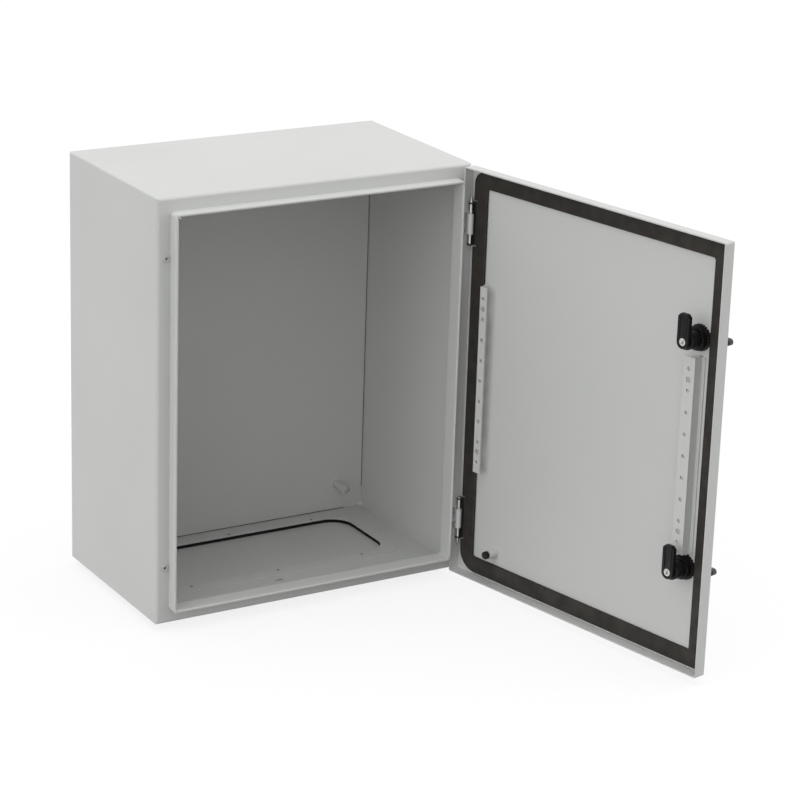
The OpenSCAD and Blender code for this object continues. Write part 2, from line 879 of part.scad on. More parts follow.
// Ribbed nut that clamps the lock barrel to the panel, in two steps.
module lock_nut() {
    step_y = sheet_t + nut_foot_t;
    color("black")
        difference() {
            union() {
                slab(sheet_t, step_y)
                    ribbed_outline(lock_nut_d);
                slab(step_y, step_y + nut_ring_t)
                    ribbed_outline(nut_ring_d);
            }
            bar_y(lock_barrel_d + 2 * nut_gap, 0, step_y + nut_ring_t + lap);
        }
}

// Winged knob outside the door, in one piece with the spindle and its square end.
module lock_knob() {
    hub_y = -lock_seal_t - lock_flange_t - knob_gap;
    wing_y = hub_y - knob_hub_t - wing_h / 2;
    color("dimgray")
        difference() {
            union() {
                bar_y(spindle_d, hub_y, lock_barrel_depth);
                bar_y(knob_hub_d, hub_y - knob_hub_t, hub_y);
                slab(wing_y, hub_y - knob_hub_t / 2)
                    square([2 * wing_reach - wing_w, wing_w], center = true);
                for (x = [-1, 1])
                    translate([x * (wing_reach - wing_w / 2), 0, 0])
                        bar_y(wing_w, wing_y, hub_y - knob_hub_t / 2);
                slab(lock_barrel_depth - lap, lock_barrel_depth + square_len)
                    square(square_w, center = true);
            }
            bar_y(cam_screw_d, lock_barrel_depth - cam_screw_grip - lap, lock_barrel_depth + square_len + lap);
        }
}

// Flat outline of a cam that points up.
module cam_outline() {
    circle(d = cam_w);
    polygon([[-cam_w / 2, 0], [cam_w / 2, 0], [cam_w / 2, cam_reach - cam_chamfer],
        [cam_w / 2 - cam_chamfer, cam_reach], [cam_chamfer - cam_w / 2, cam_reach],
        [-cam_w / 2, cam_reach - cam_chamfer]]);
}

// Latch cam with two ribs along it, held on the square end of the spindle by a sunk screw.
module lock_cam() {
    rib_z = cam_head_d / 2 + 1;
    color("black")
        difference() {
            union() {
                slab(cam_back, cam_face)
                    cam_outline();
                for (x = [-1, 1])
                    translate([x * (cam_w / 2 - 1.5 * cam_rib_w) - cam_rib_w / 2, cam_face - lap, rib_z])
                        cube([cam_rib_w, cam_rib_h + lap, cam_reach - cam_chamfer - rib_z]);
            }
            slab(cam_back - lap, lock_barrel_depth + square_len + square_gap)
                square(square_w + 2 * square_gap, center = true);
            bar_y(cam_screw_d + 2 * square_gap, cam_back, cam_face + lap);
            bar_y(cam_head_d + 2 * cam_head_gap, lock_barrel_depth + cam_seat, cam_face + lap);
        }
}

// Cross recessed screw that holds the cam.
module cam_screw() {
    seat = lock_barrel_depth + cam_seat;
    color("silver")
        difference() {
            union() {
                bar_y(cam_screw_d, lock_barrel_depth - cam_screw_grip, seat);
                bar_y(cam_head_d, seat, seat + cam_head_h);
            }
            for (a = [45, 135])
                rotate([0, a, 0])
                    translate([0, seat + cam_head_h, 0])
                        cube([cam_head_d - 3, cam_head_h, 1], center = true);
        }
}

module at_lock_upper() {
    on_door()
        translate([lock_s, 0, lock_upper_z])
            children();
}

module at_lock_lower() {
    on_door()
        translate([lock_s, 0, lock_lower_z])
            children();
}

module lock_housing_upper() { at_lock_upper() lock_housing(); }
module lock_housing_lower() { at_lock_lower() lock_housing(); }
module lock_seal_upper() { at_lock_upper() lock_seal(); }
module lock_seal_lower() { at_lock_lower() lock_seal(); }
module lock_nut_upper() { at_lock_upper() lock_nut(); }
module lock_nut_lower() { at_lock_lower() lock_nut(); }
module lock_knob_upper() { at_lock_upper() lock_knob(); }
module lock_knob_lower() { at_lock_lower() lock_knob(); }
module lock_cam_upper() { at_lock_upper() lock_cam(); }
module lock_cam_lower() { at_lock_lower() lock_cam(); }
module cam_screw_upper() { at_lock_upper() cam_screw(); }
module cam_screw_lower() { at_lock_lower() cam_screw(); }

body_wrapper();
back_panel();
corner_welds();
plate_studs();
stud_sleeves();
gland_gasket();
gland_plate();
gland_screws();
blanking_plugs();
hinge_bracket_upper();
hinge_bracket_lower();
hinge_screws();
hinge_washers();
door_pan();
door_gasket();
hinge_leaf_upper();
hinge_leaf_lower();
hinge_pin_upper();
hinge_pin_lower();
hinge_clips();
hinge_side_rail();
lock_side_rail();
door_earth_stud();
earth_stud_cap();
lock_housing_upper();
lock_housing_lower();
lock_seal_upper();
lock_seal_lower();
lock_nut_upper();
lock_nut_lower();
lock_knob_upper();
lock_knob_lower();
lock_cam_upper();
lock_cam_lower();
cam_screw_upper();
cam_screw_lower();
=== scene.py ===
"""Finishes, soft parts, small hardware and stage for an open steel wall enclosure."""

from __future__ import annotations

import json
import logging
import math
from dataclasses import dataclass, field
from enum import Enum

import bmesh
import bpy
from mathutils import Matrix, Vector


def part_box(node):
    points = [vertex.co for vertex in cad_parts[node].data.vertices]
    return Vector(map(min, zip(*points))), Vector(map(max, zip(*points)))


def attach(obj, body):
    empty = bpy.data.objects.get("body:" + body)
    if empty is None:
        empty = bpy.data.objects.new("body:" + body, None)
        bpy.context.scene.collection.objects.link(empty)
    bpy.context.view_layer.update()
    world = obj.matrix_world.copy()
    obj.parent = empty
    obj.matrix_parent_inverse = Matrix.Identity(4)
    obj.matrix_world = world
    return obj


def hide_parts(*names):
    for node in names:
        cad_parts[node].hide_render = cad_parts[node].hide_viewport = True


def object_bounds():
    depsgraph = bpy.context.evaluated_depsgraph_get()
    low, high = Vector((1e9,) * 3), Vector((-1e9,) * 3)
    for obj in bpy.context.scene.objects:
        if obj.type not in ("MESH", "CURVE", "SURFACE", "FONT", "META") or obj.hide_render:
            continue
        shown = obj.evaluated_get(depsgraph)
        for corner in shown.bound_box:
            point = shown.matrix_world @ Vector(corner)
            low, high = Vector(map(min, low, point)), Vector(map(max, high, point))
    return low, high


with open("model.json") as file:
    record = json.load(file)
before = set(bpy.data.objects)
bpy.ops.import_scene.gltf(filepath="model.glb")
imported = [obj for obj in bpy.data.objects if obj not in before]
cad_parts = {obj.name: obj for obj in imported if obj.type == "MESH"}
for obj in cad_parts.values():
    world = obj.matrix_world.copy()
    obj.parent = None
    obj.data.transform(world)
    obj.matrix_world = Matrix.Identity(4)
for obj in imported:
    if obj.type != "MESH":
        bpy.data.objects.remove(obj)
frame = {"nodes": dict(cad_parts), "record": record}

MM = 0.001
SHARP_FROM = math.radians(35.0)
FLAT_BELOW = math.radians(1.0)
ROUND_FROM = math.radians(30.0)
JOIN_WITHIN = 0.002 * MM
TURN_JOIN_WITHIN = 0.001 * MM
LOG = logging.getLogger("enclosure")
CAD_BOX = [list(corner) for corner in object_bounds()]


def linear(red: int, green: int, blue: int) -> tuple[float, float, float, float]:
    """Turn a colour given in 8-bit display values into the scene's linear values.

    Args:
        red: Display red, 0 to 255.
        green: Display green, 0 to 255.
        blue: Display blue, 0 to 255.

    Returns:
        Linear red, green, blue and an alpha of 1.
    """
    def one(value: int) -> float:
        share = value / 255.0
        return share / 12.92 if share <= 0.04045 else ((share + 0.055) / 1.055) ** 2.4

    return (one(red), one(green), one(blue), 1.0)


class Body(Enum):
    """Bodies that a piece can ride on."""

    ENCLOSURE = "enclosure"
    DOOR = "door"
    UPPER_LOCK = "upper_lock"
    LOWER_LOCK = "lower_lock"


# --------------------------------------------------------------------------- shared shader groups


class SurfaceGroup:
    """Shared node group: blotches of colour, change of gloss and a fine raised grain."""

    NAME = "surface_detail"
    BLOTCH_DETAIL = 4.0
    BLOTCH_LOW = 0.35
    BLOTCH_HIGH = 0.65
    GRAIN_DETAIL = 2.0
    GRAIN_DEPTH = 0.1 * MM

    @classmethod
    def get(cls) -> bpy.types.NodeTree:
        """Return the group, building it on first use.

        Returns:
            The shader node group.
        """
        found = bpy.data.node_groups.get(cls.NAME)
        return found if found else cls._build()

    @classmethod
    def _build(cls) -> bpy.types.NodeTree:
        """Build the group's sockets and nodes.

        Returns:
            The new shader node group.
        """
        tree = bpy.data.node_groups.new(cls.NAME, "ShaderNodeTree")
        sockets = tree.interface
        for name, kind in (("Vector", "NodeSocketVector"), ("Normal", "NodeSocketVector"),
                           ("Colour", "NodeSocketColor"), ("Tint", "NodeSocketColor"),
                           ("Blotch Scale", "NodeSocketFloat"), ("Blotch Amount", "NodeSocketFloat"),
                           ("Gloss", "NodeSocketFloat"), ("Gloss Spread", "NodeSocketFloat"),
                           ("Grain Scale", "NodeSocketFloat"), ("Grain Height", "NodeSocketFloat")):
            sockets.new_socket(name, in_out="INPUT", socket_type=kind)
        for name, kind in (("Colour", "NodeSocketColor"), ("Roughness", "NodeSocketFloat"),
                           ("Normal", "NodeSocketVector")):
            sockets.new_socket(name, in_out="OUTPUT", socket_type=kind)
        nodes, links = tree.nodes, tree.links
        given = nodes.new("NodeGroupInput")
        out = nodes.new("NodeGroupOutput")

        blotch = nodes.new("ShaderNodeTexNoise")
        blotch.inputs["Detail"].default_value = cls.BLOTCH_DETAIL
        links.new(given.outputs["Vector"], blotch.inputs["Vector"])
        links.new(given.outputs["Blotch Scale"], blotch.inputs["Scale"])
        spread = nodes.new("ShaderNodeMapRange")
        spread.inputs["From Min"].default_value = cls.BLOTCH_LOW
        spread.inputs["From Max"].default_value = cls.BLOTCH_HIGH
        links.new(blotch.outputs["Fac"], spread.inputs["Value"])
        amount = nodes.new("ShaderNodeMath")
        amount.operation = "MULTIPLY"
        links.new(spread.outputs["Result"], amount.inputs[0])
        links.new(given.outputs["Blotch Amount"], amount.inputs[1])
        tint = nodes.new("ShaderNodeMix")
        tint.data_type = "RGBA"
        links.new(amount.outputs["Value"], tint.inputs["Factor"])
        links.new(given.outputs["Colour"], tint.inputs["A"])
        links.new(given.outputs["Tint"], tint.inputs["B"])
        links.new(tint.outputs["Result"], out.inputs["Colour"])

        gloss = nodes.new("ShaderNodeMath")
        gloss.operation = "MULTIPLY_ADD"
        links.new(spread.outputs["Result"], gloss.inputs[0])
        links.new(given.outputs["Gloss Spread"], gloss.inputs[1])
        links.new(given.outputs["Gloss"], gloss.inputs[2])
        links.new(gloss.outputs["Value"], out.inputs["Roughness"])

        grain = nodes.new("ShaderNodeTexNoise")
        grain.inputs["Detail"].default_value = cls.GRAIN_DETAIL
        links.new(given.outputs["Vector"], grain.inputs["Vector"])
        links.new(given.outputs["Grain Scale"], grain.inputs["Scale"])
        bump = nodes.new("ShaderNodeBump")
        bump.inputs["Distance"].default_value = cls.GRAIN_DEPTH
        links.new(given.outputs["Grain Height"], bump.inputs["Strength"])
        links.new(grain.outputs["Fac"], bump.inputs["Height"])
        links.new(given.outputs["Normal"], bump.inputs["Normal"])
        links.new(bump.outputs["Normal"], out.inputs["Normal"])
        return tree


class SkyLobeGroup:
    """Shared node group: a soft patch of light round one direction of the sky."""

    NAME = "sky_lobe"

    @classmethod
    def get(cls) -> bpy.types.NodeTree:
        """Return the group, building it on first use.

        Returns:
            The shader node group.
        """
        found = bpy.data.node_groups.get(cls.NAME)
        if found:
            return found
        tree = bpy.data.node_groups.new(cls.NAME, "ShaderNodeTree")
        for name, kind in (("Ray", "NodeSocketVector"), ("Towards", "NodeSocketVector"),
                           ("Tightness", "NodeSocketFloat"), ("Level", "NodeSocketFloat")):
            tree.interface.new_socket(name, in_out="INPUT", socket_type=kind)
        tree.interface.new_socket("Level", in_out="OUTPUT", socket_type="NodeSocketFloat")
        nodes, links = tree.nodes, tree.links
        given, out = nodes.new("NodeGroupInput"), nodes.new("NodeGroupOutput")
        facing = nodes.new("ShaderNodeVectorMath")
        facing.operation = "DOT_PRODUCT"
        links.new(given.outputs["Ray"], facing.inputs[0])
        links.new(given.outputs["Towards"], facing.inputs[1])
        steps = []
        for operation, source in (("MAXIMUM", None), ("POWER", "Tightness"), ("MULTIPLY", "Level")):
            step = nodes.new("ShaderNodeMath")
            step.operation = operation
            step.inputs[1].default_value = 0.0
            if source:
                links.new(given.outputs[source], step.inputs[1])
            links.new(steps[-1].outputs["Value"] if steps else facing.outputs["Value"], step.inputs[0])
            steps.append(step)
        links.new(steps[-1].outputs["Value"], out.inputs["Level"])
        return tree


# --------------------------------------------------------------------------------------- finishes


@dataclass(frozen=True)
class Finish:
    """One surface finish, made into a material by make()."""

    name: str
    colour: tuple[float, float, float, float]
    tint: tuple[float, float, float, float]
    gloss: float = 0.4
    gloss_spread: float = 0.06
    blotch_scale: float = 12.0
    blotch_amount: float = 0.5
    grain_scale: float = 900.0
    grain_height: float = 0.3
    metallic: float = 0.0
    specular: float = 0.5
    soft_edge: float = 0.5 * MM
    squeeze: tuple[float, float, float] = (1.0, 1.0, 1.0)
    edge_samples: int = 4

    def make(self) -> bpy.types.Material:
        """Build the material once.

        Returns:
            The material of this finish.
        """
        found = bpy.data.materials.get(self.name)
        if found:
            return found
        material = bpy.data.materials.new(self.name)
        material.use_nodes = True
        nodes, links = material.node_tree.nodes, material.node_tree.links
        shader = nodes["Principled BSDF"]
        shader.inputs["Metallic"].default_value = self.metallic
        shader.inputs["Specular IOR Level"].default_value = self.specular
        coords = nodes.new("ShaderNodeTexCoord")
        mapping = nodes.new("ShaderNodeMapping")
        mapping.inputs["Scale"].default_value = self.squeeze
        links.new(coords.outputs["Object"], mapping.inputs["Vector"])
        detail = nodes.new("ShaderNodeGroup")
        detail.node_tree = SurfaceGroup.get()
        links.new(mapping.outputs["Vector"], detail.inputs["Vector"])
        rounding = nodes.new("ShaderNodeBevel")
        rounding.samples = self.edge_samples
        rounding.inputs["Radius"].default_value = self.soft_edge
        links.new(rounding.outputs["Normal"], detail.inputs["Normal"])
        for socket, value in (("Colour", self.colour), ("Tint", self.tint), ("Gloss", self.gloss),
                              ("Gloss Spread", self.gloss_spread), ("Blotch Scale", self.blotch_scale),
                              ("Blotch Amount", self.blotch_amount), ("Grain Scale", self.grain_scale),
                              ("Grain Height", self.grain_height)):
            detail.inputs[socket].default_value = value
        links.new(detail.outputs["Colour"], shader.inputs["Base Color"])
        links.new(detail.outputs["Roughness"], shader.inputs["Roughness"])
        links.new(detail.outputs["Normal"], shader.inputs["Normal"])
        return material


@dataclass(frozen=True)
class FinishRange:
    """Every finish used on the enclosure."""

    powder: Finish = Finish("powder_coat_light_grey", linear(205, 206, 204), linear(201, 203, 201),
                            gloss=0.42, blotch_scale=6.0, grain_scale=1400.0, grain_height=0.35)
    foam: Finish = Finish("poured_foam", linear(53, 49, 45), linear(41, 38, 35), gloss=0.5,
                          gloss_spread=0.2, blotch_scale=55.0, blotch_amount=0.7, grain_scale=900.0,
                          grain_height=1.0, specular=0.3)
    # Black foam of the real seals; the same finish also paints the shade of the back seam and the floor
    # slot.
    seal: Finish = Finish("black_seal_foam_and_painted_shade", linear(24, 24, 23), linear(17, 17, 17), gloss=0.8,
                          blotch_scale=60.0, grain_scale=1800.0, grain_height=0.8, specular=0.25)
    black_plastic: Finish = Finish("black_glass_filled_plastic", linear(11, 11, 12), linear(7, 7, 8),
                                   gloss=0.36, specular=0.3, blotch_scale=80.0, grain_scale=2600.0,
                                   grain_height=0.35)
    knob_plastic: Finish = Finish("dark_grey_plastic", linear(62, 63, 64), linear(54, 55, 56),
                                  gloss=0.45, blotch_scale=60.0, grain_scale=2600.0, grain_height=0.35)
    plug_plastic: Finish = Finish("light_grey_plastic", linear(192, 192, 189), linear(182, 182, 179),
                                  gloss=0.5, blotch_scale=90.0, grain_scale=2000.0, grain_height=0.2)
    zinc: Finish = Finish("zinc_plate", linear(228, 229, 226), linear(196, 196, 188), gloss=0.24,
                          gloss_spread=0.14, blotch_scale=220.0, blotch_amount=0.8, grain_scale=2200.0,
                          grain_height=0.25, metallic=1.0, soft_edge=0.2 * MM)
    # A darker zinc, used for the gland screws.
    darker_zinc: Finish = Finish("darker_zinc_plate", linear(84, 84, 80), linear(52, 51, 48), gloss=0.5,
                               blotch_scale=200.0, blotch_amount=0.8, grain_scale=2200.0, metallic=1.0,
                               soft_edge=0.2 * MM)
    pin_steel: Finish = Finish("drawn_steel", linear(196, 195, 192), linear(150, 148, 144), gloss=0.22,
                               gloss_spread=0.12, blotch_scale=160.0, blotch_amount=0.8,
                               grain_scale=1800.0, grain_height=0.2, metallic=1.0, soft_edge=0.2 * MM,
                               squeeze=(1.0, 1.0, 0.15))
    dark_leaf: Finish = Finish("dark_coated_steel", linear(38, 38, 38), linear(28, 28, 28), gloss=0.4,
                               blotch_scale=90.0, grain_scale=1600.0, grain_height=0.3)


FINISH = FinishRange()


# ------------------------------------------------------------------------------------ mesh helpers


class Piece:
    """A new mesh piece, made from a bmesh and put on a body."""

    def __init__(self, name: str, body: Body, finish: Finish, slot: str) -> None:
        """Hold what the piece is called and where it belongs.

        Args:
            name: Name of the Blender object.
            body: Body that the piece rides on.
            finish: Finish of the whole piece.
            slot: Material slot of the record that the finish belongs to. Not used.
        """
        self.name = name
        self.body = body
        self.finish = finish
        self.slot = slot

    def place(self, mesh: bmesh.types.BMesh, instead_of: tuple[str, ...] = ()) -> bpy.types.Object:
        """Turn the bmesh into an object that rides on the body.

        Args:
            mesh: The finished shape, in the row frame. It is freed here.
            instead_of: CAD nodes that the piece stands for.

        Returns:
            The new object.
        """
        data = bpy.data.meshes.new(self.name)
        mesh.to_mesh(data)
        mesh.free()
        data.shade_smooth()
        data.set_sharp_from_angle(angle=SHARP_FROM)
        data.materials.append(self.finish.make())
        piece = bpy.data.objects.new(self.name, data)
        bpy.context.scene.collection.objects.link(piece)
        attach(piece, self.body.value)
        if instead_of:
            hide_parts(*instead_of)
        LOG.info("%s: %d faces on %s", self.name, len(data.polygons), self.body.value)
        return piece


def joined_copy(node: str) -> bmesh.types.BMesh:
    """Copy a CAD node as one joined shell with its flat faces whole.

    Args:
        node: Name of the CAD node.

    Returns:
        The copied shape.
    """
    mesh = bmesh.new()
    mesh.from_mesh(frame["nodes"][node].data)
    bmesh.ops.remove_doubles(mesh, verts=mesh.verts, dist=JOIN_WITHIN)
    bmesh.ops.dissolve_limit(mesh, angle_limit=FLAT_BELOW, verts=mesh.verts, edges=mesh.edges)
    return mesh


def soften(mesh: bmesh.types.BMesh, width: float, segments: int = 2) -> None:
    """Round every edge sharper than ROUND_FROM.

    Args:
        mesh: Shape to change.
        width: Width of the rounding in metres.
        segments: Number of steps across the rounding.
    """
    edges = [edge for edge in mesh.edges if edge.is_manifold and edge.calc_face_angle(0.0) > ROUND_FROM]
    bmesh.ops.bevel(mesh, geom=edges, offset=width, segments=segments, profile=0.5, affect="EDGES",
                    clamp_overlap=True, material=-1)


def turned(profile: list[tuple[float, float]], steps: int = 40) -> bmesh.types.BMesh:
    """Spin a profile round Z into a closed shape.

    Args:
        profile: Points as radius and height in metres, first and last on the axis.
        steps: Number of steps round.

    Returns:
        The turned shape.
    """
    mesh = bmesh.new()
    points = [mesh.verts.new((radius, 0.0, height)) for radius, height in profile]
    edges = [mesh.edges.new(pair) for pair in zip(points, points[1:])]
    bmesh.ops.spin(mesh, geom=points + edges, cent=(0, 0, 0), axis=(0, 0, 1), dvec=(0, 0, 0),
                   angle=math.tau, steps=steps, use_merge=True, use_duplicate=False)
    bmesh.ops.remove_doubles(mesh, verts=mesh.verts, dist=TURN_JOIN_WITHIN)
    bmesh.ops.recalc_face_normals(mesh, faces=mesh.faces)
    return mesh


def add_copy(target: bmesh.types.BMesh, part: bmesh.types.BMesh, place: Matrix) -> None:
    """Add a placed copy of one shape to another.

    Args:
        target: Shape that grows.
        part: Shape to copy.
        place: Where the copy goes.
    """
    data = bpy.data.meshes.new("part")
    part.to_mesh(data)
    data.transform(place)
    target.from_mesh(data)
    bpy.data.meshes.remove(data)


def carved(mesh: bmesh.types.BMesh, cutter: bmesh.types.BMesh) -> bmesh.types.BMesh:
    """Cut one closed shape out of another. Both are freed here.

    Args:
        mesh: Shape to cut into.
        cutter: Shape that is taken away.

    Returns:
        What is left.
    """
    pair = []
    for name, shape in (("blank", mesh), ("cutter", cutter)):
        data = bpy.data.meshes.new(name)
        shape.to_mesh(data)
        shape.free()
        pair.append(bpy.data.objects.new(name, data))
        bpy.context.scene.collection.objects.link(pair[-1])
    cut = pair[0].modifiers.new("cut", "BOOLEAN")
    cut.operation = "DIFFERENCE"
    cut.solver = "EXACT"
    cut.object = pair[1]
    left = bmesh.new()
    left.from_object(pair[0], bpy.context.evaluated_depsgraph_get())
    for item in pair:
        data = item.data
        bpy.data.objects.remove(item)
        bpy.data.meshes.remove(data)
    return left


def joint_of(name: str) -> dict:
    """Find a joint of the record.

    Args:
        name: Name of the joint.

    Returns:
        The joint's entry in the record.
    """
    return next(joint for joint in frame["record"]["behaviour"]["joints"] if joint["name"] == name)


def dress(finish: Finish, *nodes: str) -> None:
    """Give CAD nodes a finish.

    Args:
        finish: The finish.
        nodes: Names of the CAD nodes.
    """
    for node in nodes:
        part = frame["nodes"][node]
        part.data.materials.clear()
        part.data.materials.append(finish.make())
        LOG.info("%s: dressed in %s", node, finish.name)


# ------------------------------------------------------------------------------------ sub-assemblies


@dataclass
class StudSet:
    """Threaded studs on the back panel, in place of the plain ones."""

    thread_d: float = 8 * MM
    pitch: float = 1.25 * MM
    length: float = 27 * MM
    thread_from: float = 17 * MM
    collar_d: float = 12.4 * MM
    collar_from: float = 19.55 * MM
    collar_over: float = 0.5 * MM
    collar_edge: float = 0.5 * MM
    collar_gap: float = 0.15 * MM
    thread_depth: float = 0.6
    tip: float = 0.5 * MM
    tip_height: float = 0.15 * MM

    def shape(self) -> bmesh.types.BMesh:
        """Turn one stud that stands along +Z from zero.

        Returns:
            The stud.
        """
        crest = self.thread_d / 2
        root = crest - self.thread_depth * self.pitch
        turns = int((self.length - self.thread_from) / self.pitch)
        profile = [(0.0, 0.0), (crest, 0.0), (crest, self.thread_from)]
        for turn in range(turns):
            start = self.thread_from + turn * self.pitch
            profile += [(root, start + 0.5 * self.pitch), (crest, start + self.pitch)]
        profile += [(root, self.length - self.tip_height), (root - self.tip, self.length),
                    (0.0, self.length)]
        return turned(profile)

    def collar(self) -> bmesh.types.BMesh:
        """Turn the ring that is screwed up against the sleeve, round the thread.

        Returns:
            The collar.
        """
        inner, outer, edge = self.thread_d / 2 + self.collar_gap, self.collar_d / 2, self.collar_edge
        start, end = self.collar_from, self.length + self.collar_over
        profile = [(inner, start), (outer, start), (outer, end - edge), (outer - edge, end),
                   (inner + 2 * edge, end), (inner, end - 2 * edge), (inner, start)]
        return turned(profile, 32)

    def build(self) -> None:
        """Build the four studs in place of the plain ones, and their collars."""
        low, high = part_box("plate_studs")
        centre_x, centre_z = (high[0] + low[0]) / 2, (high[2] + low[2]) / 2
        reach_x = (high[0] - low[0]) / 2 - self.thread_d / 2
        reach_z = (high[2] - low[2]) / 2 - self.thread_d / 2
        turn = Matrix.Rotation(math.radians(90), 4, "X")
        for name, shape, finish, slot, nodes in (
                ("threaded_studs", self.shape(), FINISH.zinc, "zinc", ("plate_studs",)),
                ("stud_collars", self.collar(), FINISH.powder, "paint", ())):
            row = bmesh.new()
            for side_x in (-1, 1):
                for side_z in (-1, 1):
                    at = Vector((centre_x + side_x * reach_x, high[1], centre_z + side_z * reach_z))
                    add_copy(row, shape, Matrix.Translation(at) @ turn)
            shape.free()
            Piece(name, Body.ENCLOSURE, finish, slot).place(row, instead_of=nodes)


@dataclass
class EnclosureBody:
    """The fixed body: wrapper, back, gland plate and hinge brackets."""

    studs: StudSet = field(default_factory=StudSet)
    gasket_round: float = 0.6 * MM
    weld_ground: float = 0.5
    seam_middle: float = 0.5 * MM
    seam_line: float = 0.7 * MM
    seam_sunk: float = 0.65 * MM
    seam_stop: float = 25.2 * MM
    bead: tuple[float, float, float] = (4.2 * MM, 0.3 * MM, 0.9 * MM)
    bead_in: float = 19.0 * MM
    slot: tuple[float, float, float] = (9.0 * MM, 1.4 * MM, 0.3 * MM)
    slot_x: float = -12 * MM
    slot_y: float = -176 * MM
    slot_up: float = 1.5 * MM
    slot_edge: float = 0.08 * MM
    plug_head: float = 1.2 * MM
    plug_edge: float = 0.6 * MM
    plug_hole_d: float = 3.2 * MM
    plug_hole_depth: float = 3.6 * MM
    plug_shank_d: float = 6.4 * MM

    def build(self) -> None:
        """Dress the body's nodes and add its soft and threaded parts."""
        dress(FINISH.powder, "body_wrapper", "back_panel", "gland_plate", "hinge_bracket_upper",
              "hinge_bracket_lower", "stud_sleeves")
        dress(FINISH.darker_zinc, "gland_screws")
        dress(FINISH.zinc, "hinge_screws", "hinge_washers")
        self.studs.build()
        self.painted_seam_shade()
        self.corner_welds()
        self.rim_beads()
        self.floor_slot_painted_shade()
        self.plugs()
        self.gland_gasket()

    def painted_seam_shade(self) -> None:
        """Lay black strips of painted shade in the bottom of the seam round the back panel, where the gap is
        only shaded.
        """
        low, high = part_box("back_panel")
        strips = bmesh.new()
        reach = {"X": high[0] - self.seam_middle, "Z": high[2] - self.seam_middle}
        along = {"X": high[2] - self.seam_stop, "Z": high[0] - self.seam_stop}
        for across in reach:
            for side in (-1, 1):
                wide = (self.seam_line, self.seam_line, 2 * along[across])
                if across == "Z":
                    wide = wide[::-1]
                at = Vector((0.0, low[1] + self.seam_sunk, 0.0))
                at["XYZ".index(across)] = side * reach[across]
                bmesh.ops.create_cube(strips, size=1.0,
                                      matrix=Matrix.Translation(at) @ Matrix.Diagonal(wide).to_4x4())
        # Painted shade: the black strips darken the seam's gap beyond the shade it casts itself.
        Piece("seam_painted_shade", Body.ENCLOSURE, FINISH.seal, "foam").place(strips)

    def corner_welds(self) -> None:
        """Draw the inside corner welds at the smaller size they have once ground."""
        mesh = joined_copy("corner_welds")
        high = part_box("corner_welds")[1]
        for vert in mesh.verts:
            corner = Vector((math.copysign(high[0], vert.co.x), high[1], math.copysign(high[2], vert.co.z)))
            vert.co = corner + (vert.co - corner) * self.weld_ground
        Piece("ground_welds", Body.ENCLOSURE, FINISH.powder, "paint").place(
            mesh, instead_of=("corner_welds",))

    def rim_beads(self) -> None:
        """Lay a short weld bead across each mitre of the rim round the opening."""
        low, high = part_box("body_wrapper")
        beads = bmesh.new()
        for side_x in (-1, 1):
            for side_z in (-1, 1):
                at = Vector((side_x * (high[0] - self.bead_in), low[1], side_z * (high[2] - self.bead_in)))
                lean = Matrix.Rotation(math.radians(-45 * side_x * side_z), 4, "Y")
                place = Matrix.Translation(at) @ lean @ Matrix.Diagonal(self.bead + (1.0,))
                bmesh.ops.create_uvsphere(beads, u_segments=16, v_segments=8, radius=1.0, matrix=place)
        Piece("rim_beads", Body.ENCLOSURE, FINISH.powder, "paint").place(beads)

    def floor_slot_painted_shade(self) -> None:
        """Lay a thin black block on the floor behind the rim: painted shade standing for the inside of a
        small slot.
        """
        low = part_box("body_wrapper")[0]
        slot = bmesh.new()
        at = Vector((self.slot_x, self.slot_y, low[2] + self.slot_up))
        place = Matrix.Translation(at) @ Matrix.Diagonal(self.slot + (1.0,))
        bmesh.ops.create_cube(slot, size=1.0, matrix=place)
        soften(slot, self.slot_edge)
        # Painted shade: a black sheet in place of the shaded inside of a slot, which is not cut.
        Piece("floor_slot_painted_shade", Body.ENCLOSURE, FINISH.seal, "foam").place(slot)

    def plugs(self) -> None:
        """Turn the two blanking plugs: a low domed head with a small blind hole, on a short shank."""
        low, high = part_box("blanking_plugs")
        head_r, edge, hole_r = (high[0] - low[0]) / 2, self.plug_edge, self.plug_hole_d / 2
        head, shank_r, depth = self.plug_head, self.plug_shank_d / 2, high[1] - low[1]
        profile = [(0.0, self.plug_hole_depth), (hole_r, self.plug_hole_depth), (hole_r, edge / 2),
                   (hole_r + edge / 2, 0.0), (head_r - 2 * edge, 0.0), (head_r - 0.6 * edge, 0.4 * edge),
                   (head_r, edge), (head_r, head), (shank_r, head), (shank_r, depth), (0.0, depth)]
        plug, pair = turned(profile, 32), bmesh.new()
        turn = Matrix.Rotation(math.radians(-90), 4, "X")
        for height in (low[2] + head_r, high[2] - head_r):
            at = Vector(((low[0] + high[0]) / 2, low[1], height))
            add_copy(pair, plug, Matrix.Translation(at) @ turn)
        plug.free()
        Piece("hole_plugs", Body.ENCLOSURE, FINISH.plug_plastic, "grey_plastic").place(
            pair, instead_of=("blanking_plugs",))

    def gland_gasket(self) -> None:
        """Give the gland gasket its soft, rounded edge."""
        mesh = joined_copy("gland_gasket")
        soften(mesh, self.gasket_round, 3)
        piece = Piece("gland_seal", Body.ENCLOSURE, FINISH.seal, "foam").place(
            mesh, instead_of=("gland_gasket",))


